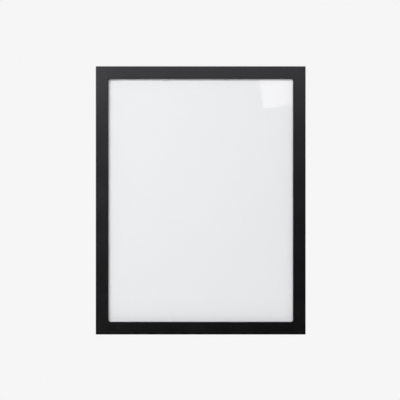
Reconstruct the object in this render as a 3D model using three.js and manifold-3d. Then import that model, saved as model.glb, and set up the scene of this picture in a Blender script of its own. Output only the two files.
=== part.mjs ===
import * as THREE from "three";
import { mergeVertices } from "three/addons/utils/BufferGeometryUtils.js";
import Module from "manifold-3d";

// A wall-hung poster frame. Four rebated wooden rails are mitred and V-nailed round a stack of
// glazing, sheet, corrugated filler and hardboard back, which eight turn buttons hold in.
// Millimetres, +Z up. The front faces -Y, and the wall is the plane y = 0.

// The sheet that the frame is made for, and the panels cut to its size
const SHEET_WIDTH = 254;
const SHEET_HEIGHT = 330.2;
const SHEET_THICKNESS = 0.3;
const GLAZING_THICKNESS = 2;
const FILLER_THICKNESS = 4;
const BACKING_THICKNESS = 3;
const PANEL_CLEARANCE = 0.8; // from a panel's edge to the wall of the rebate
const LAYER_GAP = 0.3; // between one layer of the stack and the next

// The rail's section
const WALL_WIDTH = 9.2; // outside the rebate
const LIP_WIDTH = 7.3; // in front of the glazing
const LIP_THICKNESS = 3.5;
const OUTER_ARRIS = 0.8;
const SIGHT_ARRIS = 0.5;
const BACK_ARRIS = 0.5;
const MITRE_GAP = 0.1;
const ARRIS_STEPS = 4;

// The filler's flutes
const LINER_THICKNESS = 0.4;
const MEDIUM_THICKNESS = 0.35;
const FLUTE_PITCH = 7.8;
const GLUE_LINE = 1.2; // width of the flute's tip that is stuck to a liner
const FILLER_EDGE = 1.5; // least crushed edge beside the outermost flutes
const FLUTE_STEPS = 8;

// The V-nails across the mitres
const V_NAIL_WING = 4.6;
const V_NAIL_THICKNESS = 0.5;
const V_NAIL_HEIGHT = 10;
const V_NAIL_HALF_ANGLE = THREE.MathUtils.degToRad(52);
const V_NAIL_CLEARANCE = 0.15;
const V_NAIL_SINK = 0.2; // from the rail's back down to the nail

// Hardware on the rails' backs
const SEAT_GAP = 0.3; // between two pieces that lie on one another
const HOLE_CLEARANCE = 0.3; // radial, round a screw or a nail
const ROUND_SIDES = 24;

const BUTTON_THICKNESS = 1;
const BUTTON_TAIL_RADIUS = 4;
const BUTTON_TIP_RADIUS = 3;
const BUTTON_REACH = 11.5; // from the screw to the centre of the round tip
const BUTTON_TURN_SIDES = 8; // steps of each arc of its outline
const SHORT_RAIL_BUTTONS = 66; // from the rail's middle to each screw
const LONG_RAIL_BUTTONS = 98;

const SCREW_SHANK_RADIUS = 1.4;
const SCREW_LENGTH = 9; // under the head
const SCREW_TIP = 2.2;
const SCREW_HEAD_RADIUS = 2.75;
const SCREW_HEAD_RIM = 0.4;
const SCREW_HEAD_HEIGHT = 1.4;
const SCREW_DOME_STEPS = 4;
const RECESS_LENGTH = 2.8;
const RECESS_WIDTH = 0.6;
const RECESS_DEPTH = 0.9;

const HANGER_LENGTH = 44;
const HANGER_WIDTH = 8;
const HANGER_THICKNESS = 0.7;
const HANGER_EAR = 8; // flat end under each nail
const HANGER_RAMP = 3;
const HANGER_RAISE = 1.2; // how far the middle stands off the ears
const HANGER_RAMP_STEPS = 6;
const TOOTH_PITCH = 2;
const TOOTH_DEPTH = 1.1;

const NAIL_SHANK_RADIUS = 0.6;
const NAIL_LENGTH = 10; // under the head
const NAIL_TIP = 1.2;
const NAIL_HEAD_RADIUS = 1.7;
const NAIL_HEAD_THICKNESS = 0.6;

const BUMPER_RADIUS = 4;
const BUMPER_TOP_RADIUS = 2.9;
const BUMPER_ROUND = 0.6;
const BUMPER_ROUND_STEPS = 4;
const BUMPER_THICKNESS = 3.2;
const BUMPER_INSET = 22; // from the frame's corner along the rail

// Sizes that follow
const stackDepth =
  GLAZING_THICKNESS + SHEET_THICKNESS + FILLER_THICKNESS + BACKING_THICKNESS + 4 * LAYER_GAP;
const railDepth = LIP_THICKNESS + stackDepth;
const faceWidth = WALL_WIDTH + LIP_WIDTH;
const outerWidth = SHEET_WIDTH + 2 * (PANEL_CLEARANCE + WALL_WIDTH);
const outerHeight = SHEET_HEIGHT + 2 * (PANEL_CLEARANCE + WALL_WIDTH);
const standoff = SEAT_GAP + BUMPER_THICKNESS; // from the rails' backs to the wall
const wallMiddle = WALL_WIDTH / 2; // the line that the hardware is fixed along
const screwHeadSeat = SEAT_GAP + BUTTON_THICKNESS + SEAT_GAP; // from the rail's back
const nailHeadSeat = SEAT_GAP + HANGER_THICKNESS + SEAT_GAP;
const hangerNailPlace = (HANGER_LENGTH - HANGER_EAR) / 2; // from the hanger's middle
const OVERCUT = 1; // how far a cutter runs past the face that it opens
const QUARTER = Math.PI / 2;

const wasm = await Module();
wasm.setup();

// Turns a closed three.js geometry into a solid that can be cut and joined.
function solidFrom(geometry) {
  const bare = geometry.clone();
  bare.deleteAttribute("normal");
  bare.deleteAttribute("uv");
  const welded = mergeVertices(bare, 1e-4);
  return new wasm.Manifold(
    new wasm.Mesh({
      numProp: 3,
      vertProperties: welded.attributes.position.array,
      triVerts: Uint32Array.from(welded.index.array),
    }),
  );
}

// Turns a solid back into a geometry with flat facets.
function geometryFrom(solid) {
  const cut = solid.getMesh();
  const indexed = new THREE.BufferGeometry();
  indexed.setAttribute("position", new THREE.BufferAttribute(cut.vertProperties, 3));
  indexed.setIndex(new THREE.BufferAttribute(cut.triVerts, 1));
  const geometry = indexed.toNonIndexed();
  geometry.computeVertexNormals();
  return geometry;
}

// Cuts every tool out of a geometry.
function cutFrom(geometry, tools) {
  let solid = solidFrom(geometry);
  for (const tool of tools) {
    solid = solid.subtract(solidFrom(tool));
  }
  return geometryFrom(solid);
}

// Extrudes an outline drawn as (x, -z) by a height along +Y.
function plateFrom(outline, height, curveSegments) {
  const plate = new THREE.ExtrudeGeometry(outline, {
    depth: height,
    bevelEnabled: false,
    curveSegments,
  });
  return plate.rotateX(-QUARTER);
}

// A round pin or cutter that stands along +Y from the height bottom to the height top.
function pin(radius, bottom, top) {
  const height = top - bottom;
  const cylinder = new THREE.CylinderGeometry(radius, radius, height, ROUND_SIDES);
  return cylinder.translate(0, bottom + height / 2, 0);
}

// Points of an arc about the centre (x, y).
function arcPoints(x, y, radius, from, to, steps) {
  return Array.from({ length: steps + 1 }, (_, i) => {
    const angle = from + ((to - from) * i) / steps;
    return new THREE.Vector2(x + radius * Math.cos(angle), y + radius * Math.sin(angle));
  });
}

const finishes = {
  lacquer: { color: 0x1c1c1e, roughness: 0.5, metalness: 0 },
  acrylic: { color: 0xf2f5f6, roughness: 0.05, metalness: 0, transparent: true, opacity: 0.2 },
  paper: { color: 0xececee, roughness: 0.9, metalness: 0 },
  kraft: { color: 0xb48a5a, roughness: 0.9, metalness: 0 },
  hardboard: { color: 0x6f4a2e, roughness: 0.75, metalness: 0 },
  zinc: { color: 0xb9bcc0, roughness: 0.35, metalness: 1 },
  steel: { color: 0x8d9094, roughness: 0.4, metalness: 1 },
  brass: { color: 0xb08d4a, roughness: 0.35, metalness: 1 },
  soft: { color: 0x2b2b2c, roughness: 0.8, metalness: 0 },
};

// A named piece with a material of its own.
function piece(name, geometry, finish) {
  const mesh = new THREE.Mesh(geometry, new THREE.MeshStandardMaterial(finishes[finish]));
  mesh.name = name;
  return mesh;
}

// The section across a rail: x runs inward from the frame's outer edge, and y = 0 is its back.
function railSection() {
  const front = -railDepth;
  const section = new THREE.Shape();
  section.moveTo(OUTER_ARRIS, front);
  section.lineTo(faceWidth - SIGHT_ARRIS, front);
  section.absarc(faceWidth - SIGHT_ARRIS, front + SIGHT_ARRIS, SIGHT_ARRIS, -QUARTER, 0, false);
  section.lineTo(faceWidth, front + LIP_THICKNESS);
  section.lineTo(WALL_WIDTH, front + LIP_THICKNESS);
  section.lineTo(WALL_WIDTH, 0);
  section.lineTo(BACK_ARRIS, 0);
  section.absarc(BACK_ARRIS, -BACK_ARRIS, BACK_ARRIS, QUARTER, Math.PI, false);
  section.lineTo(0, front + OUTER_ARRIS);
  section.absarc(OUTER_ARRIS, front + OUTER_ARRIS, OUTER_ARRIS, Math.PI, 3 * QUARTER, false);
  return section;
}

// A rail along Z, with both ends mitred at 45 degrees.
function mitredBar(length) {
  const bar = new THREE.ExtrudeGeometry(railSection(), {
    depth: length,
    bevelEnabled: false,
    curveSegments: ARRIS_STEPS,
  });
  bar.translate(0, 0, -length / 2);
  const setback = MITRE_GAP / Math.SQRT2;
  const position = bar.attributes.position;
  for (let i = 0; i < position.count; i += 1) {
    const end = length / 2 - position.getX(i) - setback;
    position.setZ(i, Math.sign(position.getZ(i)) * end);
  }
  return bar;
}

// A V-nail, or its slot when grown by a clearance. Its point lies towards +X, and its wings
// run back to each side of the mitre.
function vNailBody(clearance, top) {
  const half = V_NAIL_THICKNESS / 2 + clearance;
  const along = new THREE.Vector2(-Math.cos(V_NAIL_HALF_ANGLE), Math.sin(V_NAIL_HALF_ANGLE));
  const across = new THREE.Vector2(along.y, -along.x);
  const reach = V_NAIL_WING + clearance;
  const spread = half / Math.sin(V_NAIL_HALF_ANGLE);
  const outside = along.clone().multiplyScalar(reach).addScaledVector(across, half);
  const inside = along.clone().multiplyScalar(reach).addScaledVector(across, -half);
  const shift = (V_NAIL_WING * Math.cos(V_NAIL_HALF_ANGLE)) / 2;
  const outline = new THREE.Shape([
    new THREE.Vector2(shift + spread, 0),
    new THREE.Vector2(shift + outside.x, outside.y),
    new THREE.Vector2(shift + inside.x, inside.y),
    new THREE.Vector2(shift - spread, 0),
    new THREE.Vector2(shift + inside.x, -inside.y),
    new THREE.Vector2(shift + outside.x, -outside.y),
  ]);
  const bottom = -V_NAIL_SINK - V_NAIL_HEIGHT - clearance;
  return plateFrom(outline, top - bottom, 1).translate(0, bottom, 0);
}

// The slots that two V-nails leave in a rail, one at each end.
function vNailSlots(length) {
  return [1, -1].map((end) =>
    vNailBody(V_NAIL_CLEARANCE, OVERCUT)
      .rotateY((end * Math.PI) / 4)
      .translate(wallMiddle, 0, end * (length / 2 - wallMiddle)),
  );
}

// The holes in a rail for shanks of one radius, whose points reach the height tip.
function shankHoles(places, radius, tip) {
  return places.map((place) =>
    pin(radius + HOLE_CLEARANCE, tip - HOLE_CLEARANCE, OVERCUT).translate(wallMiddle, 0, place),
  );
}

// A rail with its V-nail slots and the holes for its screws and nails.
function rail(name, length, screwPlaces, nailPlaces) {
  const tools = [
    ...vNailSlots(length),
    ...shankHoles(screwPlaces, SCREW_SHANK_RADIUS, screwHeadSeat - SCREW_LENGTH),
    ...shankHoles(nailPlaces, NAIL_SHANK_RADIUS, nailHeadSeat - NAIL_LENGTH),
  ];
  return piece(name, cutFrom(mitredBar(length), tools), "lacquer");
}

// A flat turn button whose screw hole is at the origin and whose tip points along +X.
function turnButton(name) {
  const lean = Math.acos((BUTTON_TAIL_RADIUS - BUTTON_TIP_RADIUS) / BUTTON_REACH);
  const outline = new THREE.Shape([
    ...arcPoints(BUTTON_REACH, 0, BUTTON_TIP_RADIUS, -lean, lean, BUTTON_TURN_SIDES),
    ...arcPoints(0, 0, BUTTON_TAIL_RADIUS, lean, 2 * Math.PI - lean, BUTTON_TURN_SIDES),
  ]);
  const hole = new THREE.Path();
  hole.absarc(0, 0, SCREW_SHANK_RADIUS + HOLE_CLEARANCE, 0, 2 * Math.PI, true);
  outline.holes.push(hole);
  const plate = plateFrom(outline, BUTTON_THICKNESS, ROUND_SIDES / 2);
  return piece(name, plate.translate(0, SEAT_GAP, 0), "zinc");
}

// A pan head screw with a cross recess, driven along -Y.
function buttonScrew(name) {
  const dome = SCREW_HEAD_HEIGHT - SCREW_HEAD_RIM;
  const profile = [
    new THREE.Vector2(0, -SCREW_LENGTH),
    new THREE.Vector2(SCREW_SHANK_RADIUS, SCREW_TIP - SCREW_LENGTH),
    new THREE.Vector2(SCREW_SHANK_RADIUS, 0),
    new THREE.Vector2(SCREW_HEAD_RADIUS, 0),
    new THREE.Vector2(SCREW_HEAD_RADIUS, SCREW_HEAD_RIM),
  ];
  for (let i = 1; i < SCREW_DOME_STEPS; i += 1) {
    const angle = (QUARTER * i) / SCREW_DOME_STEPS;
    const radius = SCREW_HEAD_RADIUS * Math.cos(angle);
    profile.push(new THREE.Vector2(radius, SCREW_HEAD_RIM + dome * Math.sin(angle)));
  }
  profile.push(new THREE.Vector2(0, SCREW_HEAD_HEIGHT));
  const body = new THREE.LatheGeometry(profile, ROUND_SIDES);
  const recessHeight = RECESS_DEPTH + OVERCUT;
  const slots = [0, QUARTER].map((turn) =>
    new THREE.BoxGeometry(RECESS_LENGTH, recessHeight, RECESS_WIDTH)
      .rotateY(turn)
      .translate(0, SCREW_HEAD_HEIGHT - RECESS_DEPTH + recessHeight / 2, 0),
  );
  return piece(name, cutFrom(body, slots).translate(0, screwHeadSeat, 0), "zinc");
}

// The pressed strip of a hanger, seen on its long edge: two flat ears and a raised middle.
function hangerStrip() {
  const half = HANGER_LENGTH / 2;
  const rampStart = half - HANGER_EAR;
  const lower = [new THREE.Vector2(half, 0)];
  for (let i = 0; i <= HANGER_RAMP_STEPS; i += 1) {
    const share = i / HANGER_RAMP_STEPS;
    const rise = HANGER_RAISE * THREE.MathUtils.smoothstep(share, 0, 1);
    lower.push(new THREE.Vector2(rampStart - HANGER_RAMP * share, rise));
  }
  const bottom = [...lower, ...lower.map((p) => new THREE.Vector2(-p.x, p.y)).reverse()];
  const top = bottom.map((p) => new THREE.Vector2(p.x, p.y + HANGER_THICKNESS)).reverse();
  const strip = new THREE.ExtrudeGeometry(new THREE.Shape([...bottom, ...top]), {
    depth: HANGER_WIDTH,
    bevelEnabled: false,
  });
  return strip.rotateY(QUARTER).translate(wallMiddle - HANGER_WIDTH / 2, SEAT_GAP, 0);
}

// The comb that cuts the teeth into the inward edge of a hanger's raised middle.
function toothComb() {
  const edge = wallMiddle + HANGER_WIDTH / 2;
  const run = HANGER_LENGTH - 2 * (HANGER_EAR + HANGER_RAMP);
  const teeth = Math.floor(run / TOOTH_PITCH);
  const start = (-teeth * TOOTH_PITCH) / 2;
  const outline = [new THREE.Vector2(edge + OVERCUT, start)];
  for (let i = 0; i < teeth; i += 1) {
    outline.push(new THREE.Vector2(edge, start + i * TOOTH_PITCH));
    outline.push(new THREE.Vector2(edge - TOOTH_DEPTH, start + (i + 0.5) * TOOTH_PITCH));
  }
  outline.push(new THREE.Vector2(edge, -start));
  outline.push(new THREE.Vector2(edge + OVERCUT, -start));
  const height = SEAT_GAP + HANGER_RAISE + HANGER_THICKNESS + OVERCUT;
  return plateFrom(new THREE.Shape(outline), height, 1);
}

// A sawtooth hanger with a nail hole through each ear.
function sawtoothHanger(name) {
  const hole = pin(NAIL_SHANK_RADIUS + HOLE_CLEARANCE, -OVERCUT, nailHeadSeat + OVERCUT);
  const holes = [1, -1].map((end) => hole.clone().translate(wallMiddle, 0, end * hangerNailPlace));
  return piece(name, cutFrom(hangerStrip(), [toothComb(), ...holes]), "brass");
}

// A flat-headed nail driven along -Y.
function hangerNail(name) {
  const profile = [
    new THREE.Vector2(0, -NAIL_LENGTH),
    new THREE.Vector2(NAIL_SHANK_RADIUS, NAIL_TIP - NAIL_LENGTH),
    new THREE.Vector2(NAIL_SHANK_RADIUS, 0),
    new THREE.Vector2(NAIL_HEAD_RADIUS, 0),
    new THREE.Vector2(NAIL_HEAD_RADIUS, NAIL_HEAD_THICKNESS),
    new THREE.Vector2(0, NAIL_HEAD_THICKNESS),
  ];
  const body = new THREE.LatheGeometry(profile, ROUND_SIDES / 2);
  return piece(name, body.translate(0, nailHeadSeat, 0), "brass");
}

// A soft stop with tapered sides, a rounded rim and a flat face to the wall.
function wallBumper(name) {
  const rim = arcPoints(
    BUMPER_TOP_RADIUS - BUMPER_ROUND,
    BUMPER_THICKNESS - BUMPER_ROUND,
    BUMPER_ROUND,
    0,
    QUARTER,
    BUMPER_ROUND_STEPS,
  );
  const profile = [
    new THREE.Vector2(0, 0),
    new THREE.Vector2(BUMPER_RADIUS, 0),
    ...rim,
    new THREE.Vector2(0, BUMPER_THICKNESS),
  ];
  const body = new THREE.LatheGeometry(profile, ROUND_SIDES);
  return piece(name, body.translate(0, SEAT_GAP, 0), "soft");
}

// The cutter for one void between the medium and a liner. It runs from one glue line to the
// next. side is 1 behind the medium and -1 in front of it.
function fluteVoid(from, to, firstCrest, side) {
  const core = FILLER_THICKNESS / 2 - LINER_THICKNESS;
  const swing = core - MEDIUM_THICKNESS / 2;
  const start = from + GLUE_LINE / 2;
  const end = to - GLUE_LINE / 2;
  const outline = [new THREE.Vector2(start, side * core), new THREE.Vector2(end, side * core)];
  for (let i = FLUTE_STEPS; i >= 0; i -= 1) {
    const x = start + ((end - start) * i) / FLUTE_STEPS;
    const wave = swing * Math.cos((2 * Math.PI * (x - firstCrest)) / FLUTE_PITCH);
    outline.push(new THREE.Vector2(x, wave + (side * MEDIUM_THICKNESS) / 2));
  }
  const cutter = new THREE.ExtrudeGeometry(new THREE.Shape(outline), {
    depth: SHEET_HEIGHT + 2 * OVERCUT,
    bevelEnabled: false,
  });
  return cutter.translate(0, 0, -SHEET_HEIGHT / 2 - OVERCUT);
}

// Corrugated board with its flutes upright.
function fillerBoard() {
  const flutes = Math.floor((SHEET_WIDTH - 2 * FILLER_EDGE) / FLUTE_PITCH);
  const firstCrest = (-flutes * FLUTE_PITCH) / 2;
  const voids = [];
  for (let i = 0; i < flutes; i += 1) {
    const crest = firstCrest + i * FLUTE_PITCH;
    voids.push(fluteVoid(crest, crest + FLUTE_PITCH, firstCrest, 1));
    if (i > 0) {
      const trough = crest - FLUTE_PITCH / 2;
      voids.push(fluteVoid(trough, trough + FLUTE_PITCH, firstCrest, -1));
    }
  }
  return cutFrom(new THREE.BoxGeometry(SHEET_WIDTH, FILLER_THICKNESS, SHEET_HEIGHT), voids);
}

// The stack in the rebate, from the glazing back. Each layer is cut to the sheet's size.
function panelStack() {
  const stack = new THREE.Group();
  const flat = (thickness) => new THREE.BoxGeometry(SHEET_WIDTH, thickness, SHEET_HEIGHT);
  const layers = [
    ["glazing", GLAZING_THICKNESS, flat(GLAZING_THICKNESS), "acrylic"],
    ["insert_sheet", SHEET_THICKNESS, flat(SHEET_THICKNESS), "paper"],
    ["filler_board", FILLER_THICKNESS, fillerBoard(), "kraft"],
    ["backing_board", BACKING_THICKNESS, flat(BACKING_THICKNESS), "hardboard"],
  ];
  let face = -stackDepth;
  for (const [name, thickness, geometry, finish] of layers) {
    const panel = piece(name, geometry, finish);
    panel.position.y = face + LAYER_GAP + thickness / 2;
    face += LAYER_GAP + thickness;
    stack.add(panel);
  }
  return stack;
}

// Places a piece on the middle line of a rail's back.
function fixed(mesh, place) {
  mesh.position.set(wallMiddle, 0, place);
  return mesh;
}

// One side of the frame with all that is fixed to it. Its group has X pointing inward from the
// outer edge and Z along the rail.
function frameSide(side) {
  const group = new THREE.Group();
  const nailPlaces = side.hanger ? [hangerNailPlace, -hangerNailPlace] : [];
  const screwPlaces = [side.buttons, -side.buttons];
  group.add(rail("rail_" + side.name, side.length, screwPlaces, nailPlaces));
  side.ends.forEach((end, i) => {
    const label = side.name + "_" + end;
    group.add(fixed(turnButton("turn_button_" + label), screwPlaces[i]));
    group.add(fixed(buttonScrew("button_screw_" + label), screwPlaces[i]));
    if (side.hanger) {
      group.add(fixed(hangerNail("hanger_nail_" + label), nailPlaces[i]));
    }
    if (side.bumpers) {
      const place = (i === 0 ? 1 : -1) * (side.length / 2 - BUMPER_INSET);
      group.add(fixed(wallBumper("wall_bumper_" + label), place));
    }
  });
  if (side.hanger) {
    group.add(sawtoothHanger("sawtooth_hanger_" + side.name));
  }
  group.position.set(side.x, 0, side.z);
  group.rotation.y = side.turn;
  return group;
}

// The sides. ends names the two ends of a rail as seen from the front, first the one at the
// local +Z end.
const sides = [
  {
    name: "left",
    length: outerHeight,
    buttons: LONG_RAIL_BUTTONS,
    ends: ["upper", "lower"],
    hanger: true,
    bumpers: false,
    x: -outerWidth / 2,
    z: 0,
    turn: 0,
  },
  {
    name: "right",
    length: outerHeight,
    buttons: LONG_RAIL_BUTTONS,
    ends: ["lower", "upper"],
    hanger: false,
    bumpers: false,
    x: outerWidth / 2,
    z: 0,
    turn: Math.PI,
  },
  {
    name: "top",
    length: outerWidth,
    buttons: SHORT_RAIL_BUTTONS,
    ends: ["right", "left"],
    hanger: true,
    bumpers: true,
    x: 0,
    z: outerHeight / 2,
    turn: QUARTER,
  },
  {
    name: "bottom",
    length: outerWidth,
    buttons: SHORT_RAIL_BUTTONS,
    ends: ["left", "right"],
    hanger: false,
    bumpers: true,
    x: 0,
    z: -outerHeight / 2,
    turn: -QUARTER,
  },
];

// The four V-nails, each with its point towards the middle of the frame.
function cornerNails() {
  const group = new THREE.Group();
  for (const [row, up] of [["top", 1], ["bottom", -1]]) {
    for (const [column, out] of [["left", -1], ["right", 1]]) {
      const body = vNailBody(0, -V_NAIL_SINK);
      const nail = piece("corner_v_nail_" + row + "_" + column, body, "steel");
      nail.position.x = out * (outerWidth / 2 - wallMiddle);
      nail.position.z = up * (outerHeight / 2 - wallMiddle);
      nail.rotation.y = Math.atan2(up, -out);
      group.add(nail);
    }
  }
  return group;
}

const frame = new THREE.Group();
frame.position.y = -standoff;
frame.add(panelStack());
for (const side of sides) {
  frame.add(frameSide(side));
}
frame.add(cornerNails());

const posterFrame = new THREE.Group();
posterFrame.add(frame);

export default posterFrame;
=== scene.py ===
import bpy
import bmesh
import math
from mathutils import Matrix, Vector, noise


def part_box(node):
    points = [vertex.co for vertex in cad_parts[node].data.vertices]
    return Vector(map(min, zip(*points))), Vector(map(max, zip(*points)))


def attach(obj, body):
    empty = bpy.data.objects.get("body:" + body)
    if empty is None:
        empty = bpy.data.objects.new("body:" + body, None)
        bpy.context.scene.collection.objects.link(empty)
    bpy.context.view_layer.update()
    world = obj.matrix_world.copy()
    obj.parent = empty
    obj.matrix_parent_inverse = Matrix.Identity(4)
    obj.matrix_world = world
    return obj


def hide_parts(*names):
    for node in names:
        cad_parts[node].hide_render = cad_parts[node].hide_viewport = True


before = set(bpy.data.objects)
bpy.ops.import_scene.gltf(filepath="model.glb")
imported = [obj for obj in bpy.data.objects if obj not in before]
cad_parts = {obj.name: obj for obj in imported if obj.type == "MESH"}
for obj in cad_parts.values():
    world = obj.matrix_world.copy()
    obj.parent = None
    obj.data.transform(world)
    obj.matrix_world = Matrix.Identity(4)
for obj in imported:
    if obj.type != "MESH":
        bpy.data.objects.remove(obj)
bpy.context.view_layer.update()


# Moulding
# Four softwood rails with a flat face, rebated behind a thin lip, cut at 45 degrees and glued. The
# mitres are filled before spraying, which rounds the corners of the opening and hides the joints.
# The face and the outer sides are sprayed satin black. The back stays bare, with some overspray.
ARRIS_STEPS = 8
OUTER_ARRIS = 0.0008
SIGHT_ARRIS = 0.0005
SIGHT_CORNER = 0.0027  # radius of the filled corners of the opening
BACK_ARRIS = 0.0005
LAYER_GAP = 0.0003  # between the lip and the glazing
PANEL_CLEARANCE = 0.0008  # from the glazing's edge to the wall of the rebate
MITRE_GAP = 0.00003
CUT_EDGE = 0.00004  # softness of the sawn and sprayed edges
V_NAIL_WING = 0.0046
V_NAIL_HALF_ANGLE = math.radians(52)
V_NAIL_THICKNESS = 0.0005
V_NAIL_BEND = 0.0004
SLOT_CLEARANCE = 0.00015
HOLE_CLEARANCE = 0.0003
SCREW_SHANK_RADIUS = 0.0014
NAIL_SHANK_RADIUS = 0.0006
OVERCUT = 0.001  # how far a cutter runs out of the wood
OVERSPRAY = 0.0042  # how far the spray drifted over the back, from the outer edge
SPRAY_WANDER = 0.0016  # how much the edge of the spray wanders
SPRAY_FULL = 0.0010  # how far in the wood is fully covered
BACK_FINISH = (0.00030, 0.00012)  # how far ahead of the back's plane its finish starts and is full
LATEWOOD = (0.40, 0.235, 0.11)
EARLYWOOD = (0.56, 0.37, 0.20)
PORE_BROWN = (0.17, 0.09, 0.045)
LACQUER_BLACK = (0.0028, 0.0027, 0.0031)
SMUDGED_BLACK = (0.0036, 0.0034, 0.0039)
LACQUER_ROUGHNESS = 0.312
WOOD_ROUGHNESS = 0.78
WOOD_RELIEF = 0.00002
QUARTER = math.pi / 2
SOFT_ANGLE = math.radians(75)  # a soft edge turns less than this from face to face

# The turn of each side about Y. At 0 the rail is the left one, and its X points inward.
SIDE_TURNS = {"left": 0.0, "right": math.pi, "top": QUARTER, "bottom": -QUARTER}
SIDE_ENDS = {"left": ("upper", "lower"), "right": ("upper", "lower"), "top": ("left", "right"),
             "bottom": ("left", "right")}
CORNERS = {"top_left": (-1, 1), "top_right": (1, 1), "bottom_left": (-1, -1), "bottom_right": (1, -1)}

left_low, left_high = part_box("rail_left")
glazing_low, glazing_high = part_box("glazing")
half_width = -left_low.x
half_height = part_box("rail_top")[1].z
face_width = left_high.x - left_low.x
front = left_low.y
back = left_high.y
lip_back = glazing_low.y - LAYER_GAP
wall_width = half_width - glazing_high.x - PANEL_CLEARANCE
wall_middle = wall_width / 2


def fed(tree, socket, value):
    """Gives a socket its value, or links the socket or the list of sockets that feed it."""
    if isinstance(value, bpy.types.NodeSocket):
        value = [value]
    if isinstance(value, list):
        for source in value:
            tree.links.new(source, socket)
    else:
        socket.default_value = value


def node(tree, kind, inputs=None, **settings):
    """Adds a node with its settings, and feeds its inputs."""
    added = tree.nodes.new(kind)
    for key, value in settings.items():
        setattr(added, key, value)
    for key, value in (inputs or {}).items():
        fed(tree, added.inputs[key], value)
    return added


def made(tree, kind, inputs=None, **settings):
    """The first output of a new node."""
    return node(tree, kind, inputs, **settings).outputs[0]


def then(source, kind, inputs=None, **settings):
    """The first output of a new node whose first input is a socket of the same tree."""
    return made(source.id_data, kind, {0: source, **(inputs or {})}, **settings)


def tree_of(values):
    """The tree of the first socket among some values."""
    return next(value.id_data for value in values if isinstance(value, bpy.types.NodeSocket))


def maths(operation, *values):
    return made(tree_of(values), "ShaderNodeMath", dict(enumerate(values)), operation=operation)


def plus(first, second):
    return maths("ADD", first, second)


def minus(first, second):
    return maths("SUBTRACT", first, second)


def times(first, second, start=None):
    """The product of two values, added to a start value if one is given."""
    if start is None:
        return maths("MULTIPLY", first, second)
    return maths("MULTIPLY_ADD", first, second, start)


def vector(x=0.0, y=0.0, z=0.0):
    return made(tree_of((x, y, z)), "ShaderNodeCombineXYZ", {0: x, 1: y, 2: z})


def parts(source):
    """The X, Y and Z of a vector."""
    return node(source.id_data, "ShaderNodeSeparateXYZ", {0: source}).outputs


def started_tree(kind, name, **inputs):
    """Starts a tree with named inputs, and gives it with the sockets that carry them."""
    tree = bpy.data.node_groups.new(name, kind + "NodeTree")
    for label, socket in inputs.items():
        tree.interface.new_socket(
            label.replace("_", " "), in_out="INPUT", socket_type="NodeSocket" + socket
        )
    return tree, tree.nodes.new("NodeGroupInput").outputs


def ended_tree(kind, tree, **results):
    """Gives a tree its named outputs, all of one kind."""
    for label in results:
        tree.interface.new_socket(label, in_out="OUTPUT", socket_type="NodeSocket" + kind)
    node(tree, "NodeGroupOutput", results)
    return tree


def started_shape(name, **inputs):
    """A tree that turns one geometry into another, with named inputs for its sizes."""
    return started_tree("Geometry", name, Geometry="Geometry", **inputs, Material="Material")


def ended_shape(geometry, material):
    """Ends a shape's tree with plain faces and the piece's material."""
    real = then(geometry, "GeometryNodeRealizeInstances")
    coated = then(real, "GeometryNodeSetMaterial", {"Material": material})
    return ended_tree("Geometry", geometry.id_data, Geometry=coated)


def shape_of(tree, piece):
    """The geometry of a piece that a tree is given."""
    return node(tree, "GeometryNodeObjectInfo", {"Object": piece}).outputs["Geometry"]


def drawn(points, closed=True):
    """A line through points, as the start of a sweep or a turning."""
    mesh = bpy.data.meshes.new("drawn")
    edges = [(i, i + 1) for i in range(len(points) - 1)]
    if closed:
        edges.append((len(points) - 1, 0))
    mesh.from_pydata(points, edges, [])
    return mesh


def arc(x, y, radius, start, end, steps=ARRIS_STEPS):
    """Points of an arc in the XY plane."""
    turns = [start + (end - start) * i / steps for i in range(steps + 1)]
    return [(x + radius * math.cos(t), y + radius * math.sin(t), 0) for t in turns]


def placed(name, data):
    """Puts a mesh, a lamp or the camera into the scene."""
    piece = bpy.data.objects.new(name, data)
    bpy.context.scene.collection.objects.link(piece)
    return piece


def kept(bm, name, outward=False):
    """Makes a mesh of what has been modelled. outward turns a closed shape's faces outwards."""
    if outward:
        bmesh.ops.recalc_face_normals(bm, faces=bm.faces)
    mesh = bpy.data.meshes.new(name)
    bm.to_mesh(mesh)
    bm.free()
    return mesh


def smooth(mesh, angle):
    """Shades a mesh smooth up to an angle between faces."""
    mesh.shade_smooth()
    mesh.set_sharp_from_angle(angle=angle)


def settled(piece, smooth_angle=math.radians(40)):
    """Turns a piece with modifiers into a plain mesh with smooth curves and flat faces."""
    graph = bpy.context.evaluated_depsgraph_get()
    mesh = bpy.data.meshes.new_from_object(
        piece.evaluated_get(graph), preserve_all_data_layers=True, depsgraph=graph
    )
    piece.modifiers.clear()
    piece.data = mesh
    smooth(mesh, smooth_angle)
    return piece


def soften(piece, width, segments=2, angle=math.radians(30)):
    """Rounds the sharp edges of a piece a little and keeps its broad faces flat."""
    bevel = piece.modifiers.new("soft edges", "BEVEL")
    bevel.width = width
    bevel.segments = segments
    bevel.limit_method = "ANGLE"
    bevel.angle_limit = angle
    settled(piece, SOFT_ANGLE)
    weighted = piece.modifiers.new("flat faces", "WEIGHTED_NORMAL")
    weighted.keep_sharp = True
    return settled(piece, SOFT_ANGLE)


def grown(name, tree, start, **values):
    """Runs a tree on a start mesh and keeps what it makes as a plain mesh."""
    piece = placed(name, start)
    modifier = piece.modifiers.new("made by rule", "NODES")
    modifier.node_group = tree
    sockets = {
        item.name: item.identifier
        for item in tree.interface.items_tree
        if item.item_type == "SOCKET" and item.in_out == "INPUT"
    }
    for label, value in values.items():
        modifier[sockets[label.replace("_", " ")]] = value
    return settled(piece)


def dropped(piece):
    """Takes a helper shape out of the scene once it has been used."""
    mesh = piece.data
    bpy.data.objects.remove(piece)
    bpy.data.meshes.remove(mesh)


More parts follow.
